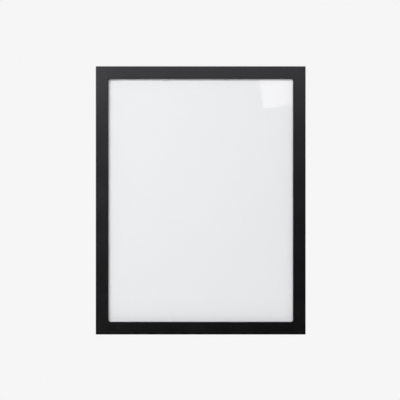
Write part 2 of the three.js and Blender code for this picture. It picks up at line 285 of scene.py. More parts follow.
def v_strip():
    """A strip bent along a V, then turned so that its height lies along Y."""
    tree, given = started_shape("v_strip", Thickness="Float", Height="Float", Bend="Float")
    line = then(given["Geometry"], "GeometryNodeMeshToCurve")
    bent = then(line, "GeometryNodeFilletCurve", {"Radius": given["Bend"], "Count": 4}, mode="POLY")
    section = then(
        given["Thickness"], "GeometryNodeCurvePrimitiveQuadrilateral", {"Height": given["Height"]}
    )
    swept = then(bent, "GeometryNodeCurveToMesh", {"Profile Curve": section, "Fill Caps": True})
    stood = then(swept, "GeometryNodeTransform", {"Rotation": (-QUARTER, 0, 0)})
    return ended_shape(stood, given["Material"])


def v_points(reach):
    """The V's line: its point towards +X, its wings to both sides of the mitre."""
    shift = V_NAIL_WING * math.cos(V_NAIL_HALF_ANGLE) / 2
    wing_x = shift - reach * math.cos(V_NAIL_HALF_ANGLE)
    wing_y = reach * math.sin(V_NAIL_HALF_ANGLE)
    return [(wing_x, wing_y, 0), (shift, 0, 0), (wing_x, -wing_y, 0)]


def corner_place(corner, height):
    """Where a V-nail stands, at its height along Y, and its turn about Y."""
    out, up = CORNERS[corner]
    across, along = half_width - wall_middle, half_height - wall_middle
    return Vector((out * across, height, up * along)), math.atan2(up, -out)


def pin(bm, middle, radius, length, sides):
    """A round pin along Y, which cuts the hole of one screw or nail."""
    bmesh.ops.create_cone(
        bm, cap_ends=True, segments=sides, radius1=radius, radius2=radius, depth=length,
        matrix=Matrix.Translation(middle) @ Matrix.Rotation(QUARTER, 4, "X"),
    )


def wood_cutters():
    """All slots and holes in the four rails, as one cutting shape."""
    bm = bmesh.new()
    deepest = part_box("corner_v_nail_top_left")[0].y - SLOT_CLEARANCE
    depth = back + OVERCUT - deepest
    v_slot = grown(
        "slot", v_tree, drawn(v_points(V_NAIL_WING + SLOT_CLEARANCE), closed=False), Height=depth,
        Thickness=V_NAIL_THICKNESS + 2 * SLOT_CLEARANCE, Bend=V_NAIL_BEND,
    )
    for corner in CORNERS:
        centre, turn = corner_place(corner, deepest + depth / 2)
        copy = v_slot.data.copy()
        copy.transform(Matrix.Translation(centre) @ Matrix.Rotation(turn, 4, "Y"))
        bm.from_mesh(copy)
        bpy.data.meshes.remove(copy)
    dropped(v_slot)
    shanks = {"button_screw_": SCREW_SHANK_RADIUS, "hanger_nail_": NAIL_SHANK_RADIUS}
    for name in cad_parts:
        for prefix, radius in shanks.items():
            if name.startswith(prefix):
                low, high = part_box(name)
                deepest = low.y - HOLE_CLEARANCE
                depth = back + OVERCUT - deepest
                middle = (low + high) / 2
                middle.y = deepest + depth / 2
                pin(bm, middle, radius + HOLE_CLEARANCE, depth, sides=24)
    return placed("wood_cutters", kept(bm, "wood_cutters"))


def mitred_rail():
    """The rail's section, swept through stations near each end, sheared to the mitres and cut."""
    tree, given = started_shape(
        "mitred_rail", Length="Float", Lip_From="Float", Corner="Float", Mitre_Gap="Float",
        Turn="Float", Place="Vector", Cutters="Object",
    )
    half = times(given["Length"], 0.5)
    corner = given["Corner"]
    line = made(tree, "GeometryNodeCurvePrimitiveLine", {"End": (0, 0, 1)})
    stations = then(line, "GeometryNodeResampleCurve", {"Count": 2 * ARRIS_STEPS + 2})
    count = made(tree, "GeometryNodeInputIndex")
    from_end = maths("MINIMUM", count, minus(2 * ARRIS_STEPS + 1, count))
    inset = times(corner, maths("DIVIDE", from_end, ARRIS_STEPS))
    end = maths("SIGN", minus(count, ARRIS_STEPS + 0.5))
    station = vector(z=times(end, minus(half, inset)))
    spaced = then(stations, "GeometryNodeSetPosition", {"Position": station})
    outline = then(given["Geometry"], "GeometryNodeMeshToCurve")
    swept = then(spaced, "GeometryNodeCurveToMesh", {"Profile Curve": outline, "Fill Caps": True})
    # Near the mitre the lip bulges into its half of a rounded corner. A station's slanting plane
    # meets the corner's arc at r - (s + sqrt(2 r^2 - s^2)) / 2.
    at = made(tree, "GeometryNodeInputPosition")
    x, y, z = parts(at)
    reach = maths("ABSOLUTE", z)
    short = minus(half, reach)
    chord = maths("SQRT", minus(times(times(corner, corner), 2.0), times(short, short)))
    bulge = times(plus(short, chord), -0.5, corner)
    new_x = times(bulge, maths("GREATER_THAN", x, given["Lip From"]), x)
    new_reach = times(given["Mitre Gap"], -math.sqrt(0.5), minus(reach, new_x))
    new_place = vector(new_x, y, times(new_reach, maths("SIGN", z)))
    mitred = then(swept, "GeometryNodeSetPosition", {"Position": new_place})
    turning = {"Translation": given["Place"], "Rotation": vector(y=given["Turn"])}
    turned = then(mitred, "GeometryNodeTransform", turning)
    slotted = then(
        turned, "GeometryNodeMeshBoolean", {"Mesh 2": shape_of(tree, given["Cutters"])},
        operation="DIFFERENCE", solver="EXACT",
    )
    # rail_place keeps each point's place along the grain.
    away = then(at, "ShaderNodeVectorMath", {1: given["Place"]}, operation="SUBTRACT")
    turned_back = {"Angle": times(given["Turn"], -1.0)}
    local = then(away, "ShaderNodeVectorRotate", turned_back, rotation_type="Y_AXIS")
    remembered = then(
        slotted, "GeometryNodeStoreNamedAttribute", {"Name": "rail_place", "Value": local},
        data_type="FLOAT_VECTOR", domain="POINT",
    )
    return ended_shape(remembered, given["Material"])


def rail_section():
    """The section across a rail, anticlockwise: X inward from the outer edge, Y towards the wall."""
    sight = (face_width - SIGHT_ARRIS, front + SIGHT_ARRIS)
    points = arc(OUTER_ARRIS, front + OUTER_ARRIS, OUTER_ARRIS, math.pi, 3 * QUARTER)
    points += arc(*sight, SIGHT_ARRIS, -QUARTER, 0)
    points += [(face_width, lip_back, 0), (wall_width, lip_back, 0), (wall_width, back, 0)]
    points += arc(BACK_ARRIS, back - BACK_ARRIS, BACK_ARRIS, QUARTER, math.pi)
    return points


def ramp(value, low, high, to_low=0.0, to_high=1.0):
    """Maps a value from one range to another, smoothly and within its ends."""
    ends = {"From Min": low, "From Max": high, "To Min": to_low, "To Max": to_high}
    return then(value, "ShaderNodeMapRange", ends, interpolation_type="SMOOTHSTEP")


def speckle(place, scale, detail=2.0, roughness=0.5, distortion=0.0):
    """Plain noise at a scale per metre."""
    sizes = {"Scale": scale, "Detail": detail, "Roughness": roughness, "Distortion": distortion}
    return then(place, "ShaderNodeTexNoise", sizes)


def stretched(place, scale, turn=(0, 0, 0), shift=(0, 0, 0)):
    """Coordinates squeezed along some axes, so that a pattern runs long along the others."""
    return then(place, "ShaderNodeMapping", {"Location": shift, "Rotation": turn, "Scale": scale})


def blended(share, first, second):
    """Mixes two colours."""
    colours = [c if isinstance(c, bpy.types.NodeSocket) else (*c, 1) for c in (first, second)]
    mix = node(share.id_data, "ShaderNodeMix", {0: share, 6: colours[0], 7: colours[1]}, data_type="RGBA")
    return mix.outputs[2]


def between(share, first, second):
    """Mixes two values."""
    return then(share, "ShaderNodeMix", {2: first, 3: second}, data_type="FLOAT")


def raised(height, distance):
    """A normal that a height bends. distance is the full height in metres."""
    return made(height.id_data, "ShaderNodeBump", {"Height": height, "Distance": distance})


def finish(shader, **sockets):
    """Gives a shader its values, or the sockets that feed it."""
    for label, value in sockets.items():
        fed(shader.id_data, shader.inputs[label.replace("_", " ")], value)


def surface(name, **plain):
    """A material with its surface shader. plain sets sockets that are the same all over."""
    material = bpy.data.materials.new(name)
    material.use_nodes = True
    shader = material.node_tree.nodes["Principled BSDF"]
    finish(shader, **plain)
    return material, material.node_tree, shader


def object_place(tree):
    return node(tree, "ShaderNodeTexCoord").outputs["Object"]


def grouped(tree, group, *outputs, **values):
    """Places a shader group in a material and gives the outputs that are asked for."""
    inputs = {label.replace("_", " "): value for label, value in values.items()}
    placed_group = node(tree, "ShaderNodeGroup", inputs, node_tree=group)
    return [placed_group.outputs[label] for label in outputs]


def wood_grain():
    """Grain, from a place with Z along it: broad rings and short open pores."""
    group, given = started_tree(
        "Shader", "wood_grain", Place="Vector", Ring_Scale="Float", Pore_Scale="Float"
    )
    ring_place = stretched(given["Place"], (1.0, 1.0, 0.035))
    rings = speckle(ring_place, given["Ring Scale"], detail=3.0, distortion=0.7)
    pore_place = stretched(given["Place"], (1.0, 1.0, 0.06), shift=(0.3, 0.1, 0.2))
    pores = speckle(pore_place, given["Pore Scale"], detail=1.0)
    return ended_tree("Float", group, Rings=ramp(rings, 0.32, 0.68), Pores=ramp(pores, 0.60, 0.72))


def handling_marks():
    """Traces of handling: soft smudges and a few fine straight scratches."""
    group, given = started_tree(
        "Shader", "handling_marks", Place="Vector", Smudge_Scale="Float", Scratch_Scale="Float"
    )
    clouds = speckle(given["Place"], given["Smudge Scale"], detail=3.0, roughness=0.6)
    layers = []
    for turn in (0.5, -1.1):
        scratch_place = stretched(given["Place"], (1.0, 1.0, 0.018), turn=(0, turn, 0))
        layers.append(ramp(speckle(scratch_place, given["Scratch Scale"], detail=0.0), 0.74, 0.78))
    return ended_tree(
        "Float", group, Smudges=ramp(clouds, 0.38, 0.66), Scratches=maths("MAXIMUM", *layers)
    )


def sprayed_wood():
    """Satin black lacquer over open grain, and bare wood on the back inside the overspray."""
    material, tree, shader = surface("satin_black_on_wood", IOR=1.5)
    place = node(tree, "ShaderNodeAttribute", attribute_name="rail_place").outputs["Vector"]
    inward, depth, _ = parts(place)
    rings, pores = grouped(
        tree, grain_group, "Rings", "Pores", Place=place, Ring_Scale=260.0, Pore_Scale=2600.0
    )
    smudges, scratches = grouped(
        tree, marks_group, "Smudges", "Scratches", Place=place, Smudge_Scale=34.0, Scratch_Scale=420.0
    )
    # The back's plane, less the droplets that thin out inward from its sprayed outer edge
    on_back = ramp(depth, *(back - skin for skin in BACK_FINISH))
    wandering = times(speckle(place, 70.0, detail=1.0), SPRAY_WANDER, inward)
    covered = ramp(wandering, OVERSPRAY, SPRAY_FULL, 0.30, 0.78)
    droplets = speckle(place, 3600.0, roughness=0.6)
    bare = times(on_back, ramp(minus(droplets, covered), -0.05, 0.03))
    wood = blended(times(pores, 0.55), blended(rings, EARLYWOOD, LATEWOOD), PORE_BROWN)
    lacquer = blended(smudges, LACQUER_BLACK, SMUDGED_BLACK)
    satin = plus(times(smudges, 0.025, LACQUER_ROUGHNESS), times(scratches, 0.04))
    orange_peel = speckle(place, 1500.0, detail=1.0)
    coat_height = minus(times(orange_peel, 0.25), times(pores, 0.35))
    wood_height = minus(times(rings, 0.4), pores)
    finish(
        shader, Base_Color=blended(bare, lacquer, wood), Roughness=between(bare, satin, WOOD_ROUGHNESS),
        Normal=raised(between(bare, coat_height, wood_height), WOOD_RELIEF),
    )
    return material


v_tree = v_strip()
rail_tree = mitred_rail()
grain_group = wood_grain()
marks_group = handling_marks()
cutters = wood_cutters()
rail_finish = sprayed_wood()
for side, turn in SIDE_TURNS.items():
    half, half_length = half_width, half_height
    if side in ("top", "bottom"):
        half, half_length = half_height, half_width
    outer_edge = Matrix.Rotation(turn, 4, "Y") @ Matrix.Translation((-half, 0, 0))
    rail = grown(
        "moulding_" + side, rail_tree, drawn(rail_section()), Length=2 * half_length, Turn=turn,
        Place=outer_edge.to_translation(), Lip_From=(wall_width + face_width) / 2,
        Corner=SIGHT_CORNER, Mitre_Gap=MITRE_GAP, Cutters=cutters, Material=rail_finish,
    )
    soften(rail, CUT_EDGE)
    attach(rail, "frame")
    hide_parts("rail_" + side)
dropped(cutters)


# Corner V-nails
# Spring steel strips bent to a V, pressed into both rails across each mitre from the back.
# The glue and the four nails hold the corners shut.
RUB_RADIUS = 0.0003  # how far in from an edge handling rubs the metal
METAL_RELIEF = 0.000008
V_NAIL_EDGE = 0.00006


def plating():
    """A rolled and plated metal skin: cloudy mottling, rolling lines along X and small pits."""
    group, given = started_tree(
        "Shader", "plating", Place="Vector", Mottle_Scale="Float", Line_Scale="Float"
    )
    place = given["Place"]
    mottle = speckle(place, given["Mottle Scale"], detail=3.0, roughness=0.6)
    lines = speckle(stretched(place, (0.03, 1.0, 1.0)), given["Line Scale"], detail=1.0)
    pits = speckle(place, times(given["Line Scale"], 0.7), detail=0.0)
    return ended_tree(
        "Float", group, Mottle=ramp(mottle, 0.35, 0.65), Lines=ramp(lines, 0.40, 0.62),
        Pits=ramp(pits, 0.72, 0.80),
    )


def edge_rub():
    """Where an edge stands proud, handling rubs it: a rounded edge's normal leaves the true one."""
    group, given = started_tree("Shader", "edge_rub", Radius="Float")
    rounded = made(group, "ShaderNodeBevel", {"Radius": given["Radius"]}, samples=6)
    true = node(group, "ShaderNodeNewGeometry").outputs["Normal"]
    alike = node(group, "ShaderNodeVectorMath", {0: rounded, 1: true}, operation="DOT_PRODUCT")
    return ended_tree("Float", group, Rub=ramp(alike.outputs["Value"], 0.985, 0.86))


def plated(name, bright, dull, roughness, mottle_scale, line_scale):
    """A plated or bare metal whose skin varies with rolling, handling and worn edges."""
    material, tree, shader = surface(name, Metallic=1.0)
    place = object_place(tree)
    mottle, lines, pits = grouped(
        tree, plating_group, "Mottle", "Lines", "Pits", Place=place, Mottle_Scale=mottle_scale,
        Line_Scale=line_scale,
    )
    smudges, scratches = grouped(
        tree, marks_group, "Smudges", "Scratches", Place=place, Smudge_Scale=mottle_scale * 0.3,
        Scratch_Scale=900.0,
    )
    (rub,) = grouped(tree, rub_group, "Rub", Radius=RUB_RADIUS)
    colour = blended(mottle, dull, bright)
    colour = blended(times(pits, 0.3), colour, tuple(0.5 * c for c in dull))
    colour = blended(times(rub, 0.6), colour, tuple(min(1.15 * c, 0.95) for c in bright))
    rough = plus(times(mottle, -0.08, roughness + 0.04), times(smudges, 0.10))
    rough = minus(plus(rough, times(scratches, 0.12)), times(rub, 0.08))
    height = minus(minus(times(lines, 0.5), times(pits, 0.8)), times(scratches, 0.5))
    finish(shader, Base_Color=colour, Roughness=rough, Normal=raised(height, METAL_RELIEF))
    return material


def copies_on_points():
    """Copies of one piece on points, each turned about Y by its point and a little at random."""
    tree, given = started_shape("set_out", Piece="Object", Spin="Float", Lean="Float", Seed="Int")

    def chance(limit, shift):
        """A random value between plus and minus a limit, fixed by the seed."""
        seed = then(given["Seed"], "FunctionNodeIntegerMath", {1: shift}, operation="ADD")
        draw = {2: times(limit, -1.0), 3: limit, 8: seed}
        return node(tree, "FunctionNodeRandomValue", draw, data_type="FLOAT").outputs[1]

    turn = made(tree, "GeometryNodeInputNamedAttribute", {"Name": "turn"}, data_type="FLOAT")
    spun = plus(turn, chance(given["Spin"], 2))
    angle = vector(chance(given["Lean"], 1), spun, chance(given["Lean"], 3))
    copies = then(
        given["Geometry"], "GeometryNodeInstanceOnPoints",
        {"Instance": shape_of(tree, given["Piece"]), "Rotation": angle},
    )
    return ended_shape(copies, given["Material"])


def set_out(name, piece, places, turns=None, **values):
    """Sets one piece out on points as a single mesh, and drops the piece."""
    mesh = bpy.data.meshes.new("points")
    mesh.from_pydata([tuple(place) for place in places], [], [])
    turned = mesh.attributes.new("turn", "FLOAT", "POINT")
    for i, turn in enumerate(turns or [0.0] * len(places)):
        turned.data[i].value = turn
    copies = grown(name, copies_tree, mesh, Piece=piece, **values)
    dropped(piece)
    return copies


plating_group = plating()
rub_group = edge_rub()
copies_tree = copies_on_points()
v_low, v_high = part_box("corner_v_nail_top_left")
v_nail = grown(
    "v_nail", v_tree, drawn(v_points(V_NAIL_WING), closed=False), Thickness=V_NAIL_THICKNESS,
    Height=v_high.y - v_low.y, Bend=V_NAIL_BEND,
)
v_places, v_turns = zip(*(corner_place(corner, (v_low.y + v_high.y) / 2) for corner in CORNERS))
spring_steel = plated(
    "spring_steel", bright=(0.42, 0.43, 0.45), dull=(0.27, 0.28, 0.30), roughness=0.36,
    mottle_scale=900.0, line_scale=4000.0,
)
v_nails = set_out("corner_v_nails", v_nail, v_places, v_turns, Seed=3, Material=spring_steel)
soften(v_nails, V_NAIL_EDGE, segments=1)
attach(v_nails, "frame")
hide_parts(*("corner_v_nail_" + corner for corner in CORNERS))


# Glazing
# A 2 mm sheet of clear acrylic, sawn to the sheet's size and dropped in against the lip.
# It carries a faint waviness from casting, which softens what it mirrors.
GLAZING_EDGE = 0.00015
ACRYLIC_TINT = (0.992, 0.996, 0.995, 1)
ACRYLIC_ROUGHNESS = 0.015
CASTING_WAVES = 0.00002


def slab(name, low, high, edge):
    """A flat panel with its sawn edges eased."""
    bm = bmesh.new()
    bmesh.ops.create_cube(bm, size=1.0)
    size = Matrix.Diagonal((*(high - low), 1))
    bmesh.ops.transform(bm, matrix=Matrix.Translation((low + high) / 2) @ size, verts=bm.verts)
    mesh = kept(bm, name)
    mesh.shade_smooth()
    return soften(placed(name, mesh), edge, segments=3)


def clear_acrylic():
    """Clear sheet. What lights the paper passes straight through it, and the camera sees its gloss."""
    material, tree, shader = surface(
        "clear_acrylic", Transmission_Weight=1.0, IOR=1.49, Metallic=0.0, Base_Color=ACRYLIC_TINT
    )
    place = object_place(tree)
    (smudges,) = grouped(tree, marks_group, "Smudges", Place=place, Smudge_Scale=16.0)
    finish(
        shader, Roughness=times(smudges, 0.02, ACRYLIC_ROUGHNESS),
        Normal=raised(speckle(place, 26.0, detail=1.0), CASTING_WAVES),
    )
    through = made(tree, "ShaderNodeBsdfTransparent", {"Color": ACRYLIC_TINT})
    path = node(tree, "ShaderNodeLightPath").outputs
    lighting = maths("MAXIMUM", path["Is Shadow Ray"], path["Is Diffuse Ray"])
    either = then(lighting, "ShaderNodeMixShader", {1: shader.outputs[0], 2: through})
    tree.links.new(either, tree.nodes["Material Output"].inputs["Surface"])
    return material


glazing = slab("clear_glazing_sheet", glazing_low, glazing_high, GLAZING_EDGE)
glazing.data.materials.append(clear_acrylic())
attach(glazing, "frame")
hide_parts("glazing")


# Insert sheet
# The plain white sheet that the frame is sold with: smooth heavy paper, guillotined to size.
# It lies between glazing and filler and has cockled a little.
SHEET_COLUMNS = 44
SHEET_ROWS = 58
COCKLE = 0.00010
COCKLE_SIZE = 0.09


def bridged(bm, rows, closed=False):
    """Faces between neighbouring rows of points. closed joins each row's end to its start."""
    faces = []
    for first, second in zip(rows, rows[1:]):
        for i in range(len(first) - (not closed)):
            following = (i + 1) % len(first)
            faces.append(bm.faces.new((first[i], first[following], second[following], second[i])))
    return faces


def two_sided(bm, near, far, name):
    """Closes two grids of points that lie one behind the other into one thin body."""
    for grid in (near, far):
        bridged(bm, grid)
    for i in (0, -1):
        bridged(bm, (near[i], far[i]))
        bridged(bm, ([row[i] for row in near], [row[i] for row in far]))
    return kept(bm, name, outward=True)


def cockled_sheet(name, low, high):
    """A thin sheet whose two faces rise and fall together."""
    bm = bmesh.new()
    grids = []
    for depth in (low.y, high.y):
        grid = []
        for row in range(SHEET_ROWS + 1):
            z = low.z + (high.z - low.z) * row / SHEET_ROWS
            line = []
            for column in range(SHEET_COLUMNS + 1):
                x = low.x + (high.x - low.x) * column / SHEET_COLUMNS
                lift = COCKLE * noise.noise(Vector((x, 0.0, z)) / COCKLE_SIZE)
                line.append(bm.verts.new((x, depth + lift, z)))
            grid.append(line)
        grids.append(grid)
    mesh = two_sided(bm, *grids, name)
    smooth(mesh, math.radians(40))
    return placed(name, mesh)


def fibres():
    """Matted fibres that lie three ways, and flecks."""
    group, given = started_tree("Shader", "fibres", Place="Vector", Scale="Float")
    layers = []
    for turn in (0.3, 1.5, 2.6):
        fibre_place = stretched(given["Place"], (1.0, 1.0, 0.12), turn=(0, turn, 0))
        layers.append(ramp(speckle(fibre_place, given["Scale"], distortion=0.8), 0.52, 0.70))
    felt = maths("MAXIMUM", layers[0], maths("MAXIMUM", *layers[1:]))
    flecks = speckle(given["Place"], times(given["Scale"], 0.6), detail=1.0)
    return ended_tree("Float", group, Flecks=ramp(flecks, 0.66, 0.74), Felt=felt)


def board(name, colour, felt_colour, fleck_colour, felt_share, fleck_share, scale):
    """Starts paper or board, with matted fibres and darker flecks. The caller gives it its tooth."""
    material, tree, shader = surface(name, Specular_IOR_Level=0.2)
    place = object_place(tree)
    flecks, felt = grouped(tree, fibre_group, "Flecks", "Felt", Place=place, Scale=scale)
    colour = blended(times(felt, felt_share), colour, felt_colour)
    colour = blended(times(flecks, fleck_share), colour, fleck_colour)
    return material, shader, place, felt, colour


def toothed_board(name, roughness, relief, **fibre_values):
    """Paper or board whose own fibres are its only tooth."""
    material, shader, place, felt, colour = board(name, **fibre_values)
    finish(
        shader, Base_Color=colour, Roughness=times(felt, 0.08, roughness), Normal=raised(felt, relief)
    )
    return material


fibre_group = fibres()
white_paper = toothed_board(
    "white_paper", roughness=0.82, relief=0.000006, colour=(0.888, 0.882, 0.900),
    felt_colour=(0.878, 0.870, 0.890), fleck_colour=(0.84, 0.84, 0.85), felt_share=0.5,
    fleck_share=0.2, scale=1800.0,
)
sheet = cockled_sheet("white_insert_sheet", *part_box("insert_sheet"))
sheet.data.materials.append(white_paper)
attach(sheet, "frame")
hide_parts("insert_sheet")


# Filler board
# Brown corrugated board with upright flutes: a waved medium glued between two flat liners.
# It presses the sheet forward against the glazing.
LINER_THICKNESS = 0.0004
MEDIUM_THICKNESS = 0.00035
FLUTE_PITCH = 0.0078
FLUTE_STEPS = 12
WELD_DISTANCE = 0.00001


def fluted_board():
    """A waved medium between two liners, made lying flat and then stood up at its place."""
    tree, given = started_shape(
        "fluted_board", Width="Float", Height="Float", Thickness="Float", Liner="Float",
        Medium="Float", Pitch="Float", Columns="Int", Place="Vector",
    )
    core = minus(times(given["Thickness"], 0.5), given["Liner"])
    half_medium = times(given["Medium"], 0.5)
    swing = minus(core, half_medium)
    grid = made(tree, "GeometryNodeMeshGrid", {
        "Size X": given["Width"], "Size Y": given["Height"], "Vertices X": given["Columns"],
        "Vertices Y": 2,
    })
    x, _, _ = parts(made(tree, "GeometryNodeInputPosition"))
    wave = maths("COSINE", times(maths("DIVIDE", x, given["Pitch"]), 2 * math.pi))
    rise = vector(z=minus(times(wave, swing), half_medium))
    waved = then(grid, "GeometryNodeSetPosition", {"Offset": rise})
    thick = then(
        waved, "GeometryNodeExtrudeMesh",
        {"Offset": (0, 0, 1), "Offset Scale": given["Medium"], "Individual": False},
    )
    under = then(waved, "GeometryNodeFlipFaces")
    both = made(tree, "GeometryNodeJoinGeometry", {0: [thick, under]})
    layers = [then(both, "GeometryNodeMergeByDistance", {"Distance": WELD_DISTANCE})]
    liner = then(vector(given["Width"], given["Height"], given["Liner"]), "GeometryNodeMeshCube")
    liner_middle = plus(core, times(given["Liner"], 0.5))
    for side in (1.0, -1.0):
        shift = vector(z=times(liner_middle, side))
        layers.append(then(liner, "GeometryNodeTransform", {"Translation": shift}))
    layered = made(tree, "GeometryNodeJoinGeometry", {0: layers})
    standing = {"Translation": given["Place"], "Rotation": (QUARTER, 0, 0)}
    return ended_shape(then(layered, "GeometryNodeTransform", standing), given["Material"])


def middle_of(name):
    low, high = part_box(name)
    return (low + high) / 2


filler_low, filler_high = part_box("filler_board")
filler_size = filler_high - filler_low
kraft = toothed_board(
    "kraft_board", roughness=0.84, relief=0.00002, colour=(0.42, 0.27, 0.145),
    felt_colour=(0.34, 0.205, 0.10), fleck_colour=(0.20, 0.12, 0.06), felt_share=0.7,
    fleck_share=0.6, scale=900.0,
)
filler = grown(
    "corrugated_filler", fluted_board(), drawn([(0, 0, 0), (FLUTE_PITCH, 0, 0)], closed=False),
    Width=filler_size.x, Height=filler_size.z, Thickness=filler_size.y, Liner=LINER_THICKNESS,
    Medium=MEDIUM_THICKNESS, Pitch=FLUTE_PITCH, Place=middle_of("filler_board"),
    Columns=1 + FLUTE_STEPS * round(filler_size.x / FLUTE_PITCH), Material=kraft,
)
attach(filler, "frame")
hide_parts("filler_board")


# Hardboard back
# Pressed brown hardboard, its screen side outward, cut to the sheet's size and flush with the rails.
# The wire screen that it was pressed on leaves a fine square mesh.
BACK_EDGE = 0.0003
SCREEN_PITCH = 0.0016
SCREEN_DEPTH = 0.00010
CLOUD_BROWN = (0.265, 0.150, 0.078)
SCREEN_BROWN = (0.125, 0.065, 0.032)


def screened_hardboard():
    """Hardboard with clouds in its colour and the marks of the wires."""
    material, shader, place, felt, colour = board(
        "hardboard", colour=(0.215, 0.118, 0.058), felt_colour=(0.150, 0.078, 0.037),
        fleck_colour=(0.085, 0.045, 0.024), felt_share=0.7, fleck_share=0.45, scale=1700.0,
    )
    clouds = ramp(speckle(place, 9.0, detail=4.0, roughness=0.6), 0.36, 0.66)
    x, _, z = parts(place)
    wires = [maths("SINE", times(across, 2 * math.pi / SCREEN_PITCH)) for across in (x, z)]
    screen = ramp(maths("MAXIMUM", *wires), 0.3, 1.0)
    colour = blended(times(clouds, 0.35), colour, CLOUD_BROWN)
    colour = blended(times(screen, 0.35), colour, SCREEN_BROWN)
    finish(
        shader, Base_Color=colour, Roughness=times(felt, 0.08, 0.66),
        Normal=raised(minus(times(felt, 0.25), screen), SCREEN_DEPTH),
    )
    return material


backing = slab("hardboard_back", *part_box("backing_board"), BACK_EDGE)
backing.data.materials.append(screened_hardboard())
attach(backing, "frame")
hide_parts("backing_board")


# Turn buttons
# Zinc-plated steel stampings, one screw each. Turned inward they lap over the back and lock it in.
# The punch has rounded their upper edges and dished them a little round the screw.
BUTTON_TAIL_RADIUS = 0.004
BUTTON_TIP_RADIUS = 0.003
BUTTON_REACH = 0.0115
BUTTON_HOLE = 0.0017
TAIL_STEPS = 44
TIP_STEPS = 22
STRAIGHT_STEPS = 8
PUNCH_ROLL = 0.00022  # the rounding on the side that the punch entered
# Steps out from the hole and in from the rim, each with its depth below the upper face
BUTTON_DISH = ((0.0, 0.00030), (0.00012, 0.00016), (0.0011, 0.00008), (0.0015, 0.0))
BUTTON_RIM = (
    (0.00045, 0.0), (PUNCH_ROLL, 0.00002), (PUNCH_ROLL * 0.3, PUNCH_ROLL * 0.3), (0.0, PUNCH_ROLL),
)
HOLE_EASE = 0.00008  # the eased lower edges
RIM_EASE = 0.00006
BUTTON_CREASE = math.radians(50)


def button_outline(inset):
    """The outline, drawn in by an inset: a round tip, a round tail and the two straights."""
    lean = math.acos((BUTTON_TAIL_RADIUS - BUTTON_TIP_RADIUS) / BUTTON_REACH)
    tip = arc(BUTTON_REACH, 0, BUTTON_TIP_RADIUS - inset, -lean, lean, TIP_STEPS)
    tail = arc(0, 0, BUTTON_TAIL_RADIUS - inset, lean, 2 * math.pi - lean, TAIL_STEPS)
    points = list(tip)
    for start, end, ring in ((tip[-1], tail[0], tail), (tail[-1], tip[0], [])):
        for i in range(1, STRAIGHT_STEPS):
            share = i / STRAIGHT_STEPS
            points.append(tuple(a + (b - a) * share for a, b in zip(start, end)))
        points += ring
    return points


def button_circle(radius):
    """A circle about the screw with a point on each ray to the outline."""
    rays = [math.atan2(y, x) for x, y, _ in button_outline(0)]
    return [(radius * math.cos(ray), radius * math.sin(ray), 0) for ray in rays]


def button_mesh(name, low, high):
    """A stamped button with its hole at the origin, its tip along X and its thickness along Y."""
    levels = [(button_circle(BUTTON_HOLE), low + HOLE_EASE)]
    levels += [(button_circle(BUTTON_HOLE + out), high - deep) for out, deep in BUTTON_DISH]
    levels += [(button_outline(inset), high - deep) for inset, deep in BUTTON_RIM]
    levels += [(button_outline(0), low + RIM_EASE), (button_outline(RIM_EASE), low)]
    levels += [(button_circle(BUTTON_HOLE + HOLE_EASE), low)]
    bm = bmesh.new()
    rings = [[bm.verts.new((x, height, -y)) for x, y, _ in ring] for ring, height in levels]
    bridged(bm, [*rings, rings[0]], closed=True)
    return kept(bm, name, outward=True)


def zinc(name, roughness):
    return plated(
        name, bright=(0.66, 0.675, 0.70), dull=(0.58, 0.595, 0.625), roughness=roughness,
        mottle_scale=240.0, line_scale=3200.0,
    )


def turned_to(side, name):
    """The place of a CAD part on a side, in the plane of the wall, turned with that side."""
    middle = middle_of(name)
    middle.y = 0
    return Matrix.Translation(middle) @ Matrix.Rotation(SIDE_TURNS[side], 4, "Y")


zinc_sheet = zinc("zinc_plated_sheet", 0.30)
button_labels = {side + "_" + end: side for side, ends in SIDE_ENDS.items() for end in ends}
for label, side in button_labels.items():
    button_low, button_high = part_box("turn_button_" + label)
    mesh = button_mesh("zinc_button_" + label, button_low.y, button_high.y)
    mesh.transform(turned_to(side, "button_screw_" + label))
    smooth(mesh, BUTTON_CREASE)
    mesh.materials.append(zinc_sheet)
    button = placed("zinc_button_" + label, mesh)
    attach(button, "button_" + label)
    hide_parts("turn_button_" + label)


# Button screws
# Small pan head wood screws with a cross recess, zinc plated, one through each button.
# Each was driven until it just let its button turn, so their crosses lie at odd angles.
SCREW_HEAD_RADIUS = 0.00275
SCREW_HEAD_RIM = 0.0004
SCREW_HEAD_HEIGHT = 0.0014
SCREW_LENGTH = 0.009
SCREW_TIP = 0.0022
SCREW_POINT = 0.00005  # radius of its blunted point
RIM_ROUND = 0.00014
DOME_STEPS = 12
RECESS_LENGTH = 0.0029
RECESS_WIDTH = 0.00066
RECESS_DEPTH = 0.0009
THREAD_START = 0.0016  # below the seat of the head
THREAD_PITCH = 0.0011
THREAD_DEPTH = 0.00022
THREAD_STEPS = 20
THREAD_ROOT = 0.00004  # how far the ridge is sunk in the shank, and half its width where it fades out
THREAD_SPREAD = 0.00016  # what the full ridge adds to that half width
TURNING_STEP = 0.000002  # the least rise from ring to ring of a turned profile
TURNED_CENTRE = 0.00002  # radius at which a turned top closes


